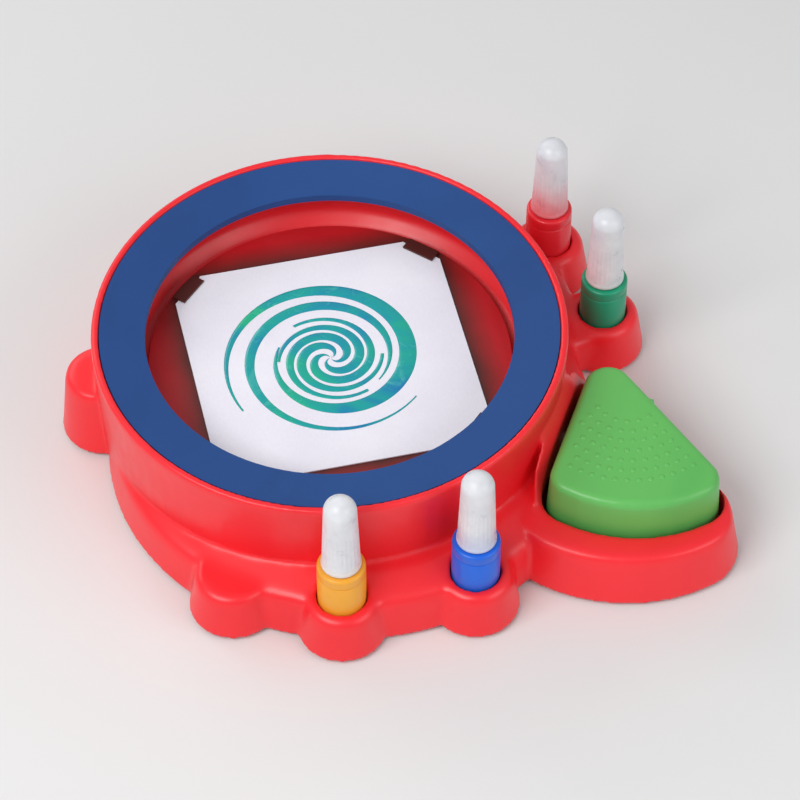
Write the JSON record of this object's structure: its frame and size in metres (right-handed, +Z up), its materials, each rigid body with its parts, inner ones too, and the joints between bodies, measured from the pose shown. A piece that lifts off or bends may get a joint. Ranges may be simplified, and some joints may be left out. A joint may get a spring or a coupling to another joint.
{
  "type": "spin art machine",
  "caption": "Push-pad spin art toy: red bowl with blue splash ring, card turntable, fan-shaped press pad and capped paint tubes in sockets around the skirt.",
  "frame": {"origin": "on the turntable's axis, at the plane that the feet stand on", "axes": "+Z up along the turntable's axis, +X towards the push pad, -Y towards the front"},
  "size_m": [0.2538, 0.2105, 0.0745],
  "materials": {
    "red_shell": "glossy moulded polystyrene",
    "red_turntable": "semi-gloss moulded polystyrene",
    "blue_ring": "satin moulded polystyrene",
    "green_pad": "semi-gloss moulded plastic with grip dots",
    "dark_cover": "matt moulded plastic",
    "white_gear_plastic": "natural acetal",
    "steel": "bright zinc plate",
    "brass_bush": "plain sintered bush",
    "rubber_feet": "soft black rubber",
    "paper_card": "smooth white paper card with wet paint",
    "clear_cap": "milky translucent polypropylene",
    "tube_yellow": "coloured polyethylene bottle",
    "tube_blue": "coloured polyethylene bottle",
    "tube_green": "coloured polyethylene bottle",
    "tube_red": "coloured polyethylene bottle"
  },
  "bodies": {
    "base": {"upper_housing": "red_shell", "bottom_cover": "dark_cover", "gear_frame": "white_gear_plastic", "upper_bush": "brass_bush", "thrust_washer": "white_gear_plastic", "hinge_pin": "steel", "return_spring": "steel", "cover_screws": "steel", "frame_screws": "steel", "rubber_feet": "rubber_feet"},
    "lever": {"push_pad": "green_pad", "sector_arm": "white_gear_plastic"},
    "cross_shaft": {"cross_shaft": "steel", "sector_pinion": "white_gear_plastic", "shaft_clip": "steel", "crown_gear": "white_gear_plastic"},
    "clutch": {"clutch_gear": "white_gear_plastic", "pawls": "white_gear_plastic"},
    "rotor": {"spindle": "steel", "ratchet_wheel": "white_gear_plastic", "turntable": "red_turntable", "turntable_screw": "steel", "paper_card": "paper_card"},
    "splash_ring": {"splash_ring": "blue_ring"},
    "front_tube": {"front_tube_bottle": "tube_yellow", "front_tube_nozzle": "tube_yellow"},
    "front_tube_cap": {"front_tube_cap": "clear_cap"},
    "front_right_tube": {"front_right_tube_bottle": "tube_blue", "front_right_tube_nozzle": "tube_blue"},
    "front_right_tube_cap": {"front_right_tube_cap": "clear_cap"},
    "back_right_tube": {"back_right_tube_bottle": "tube_green", "back_right_tube_nozzle": "tube_green"},
    "back_right_tube_cap": {"back_right_tube_cap": "clear_cap"},
    "back_tube": {"back_tube_bottle": "tube_red", "back_tube_nozzle": "tube_red"},
    "back_tube_cap": {"back_tube_cap": "clear_cap"}
  },
  "joints": [
    {"name": "lever_press", "type": "hinge", "parent": "base", "child": "lever", "pos_m": [0.07, -0.025, 0.0152], "axis": [0, 1, 0], "range_deg": [0, 8], "stiffness_Nm_per_rad": 0.6, "springref_deg": -14.32, "deforming": ["return_spring"]},
    {"name": "cross_shaft_spin", "type": "hinge", "parent": "base", "child": "cross_shaft", "pos_m": [0, -0.025, 0.0152], "axis": [0, 1, 0], "range_deg": [-105, 1]},
    {"name": "clutch_spin", "type": "hinge", "parent": "base", "child": "clutch", "pos_m": [0, 0, 0.024], "axis": [0, 0, 1], "range_deg": [-118, 1]},
    {"name": "turntable_spin", "type": "hinge", "parent": "base", "child": "rotor", "pos_m": [0, 0, 0.0359], "axis": [0, 0, 1], "continuous": true},
    {"name": "splash_ring_lift", "type": "slide", "parent": "base", "child": "splash_ring", "axis": [0, 0, 1], "range_m": [0, 0.06]},
    {"name": "front_tube_lift", "type": "slide", "parent": "base", "child": "front_tube", "axis": [0, 0, 1], "range_m": [0, 0.04]},
    {"name": "front_tube_cap_pull", "type": "slide", "parent": "front_tube", "child": "front_tube_cap", "axis": [0, 0, 1], "range_m": [0, 0.035]},
    {"name": "front_right_tube_lift", "type": "slide", "parent": "base", "child": "front_right_tube", "axis": [0, 0, 1], "range_m": [0, 0.04]},
    {"name": "front_right_tube_cap_pull", "type": "slide", "parent": "front_right_tube", "child": "front_right_tube_cap", "axis": [0, 0, 1], "range_m": [0, 0.035]},
    {"name": "back_right_tube_lift", "type": "slide", "parent": "base", "child": "back_right_tube", "axis": [0, 0, 1], "range_m": [0, 0.04]},
    {"name": "back_right_tube_cap_pull", "type": "slide", "parent": "back_right_tube", "child": "back_right_tube_cap", "axis": [0, 0, 1], "range_m": [0, 0.035]},
    {"name": "back_tube_lift", "type": "slide", "parent": "base", "child": "back_tube", "axis": [0, 0, 1], "range_m": [0, 0.04]},
    {"name": "back_tube_cap_pull", "type": "slide", "parent": "back_tube", "child": "back_tube_cap", "axis": [0, 0, 1], "range_m": [0, 0.035]}
  ],
  "couplings": [
    {"joint": "cross_shaft_spin", "follows": "lever_press", "ratio": -13},
    {"joint": "clutch_spin", "follows": "lever_press", "ratio": -14.625}
  ]
}
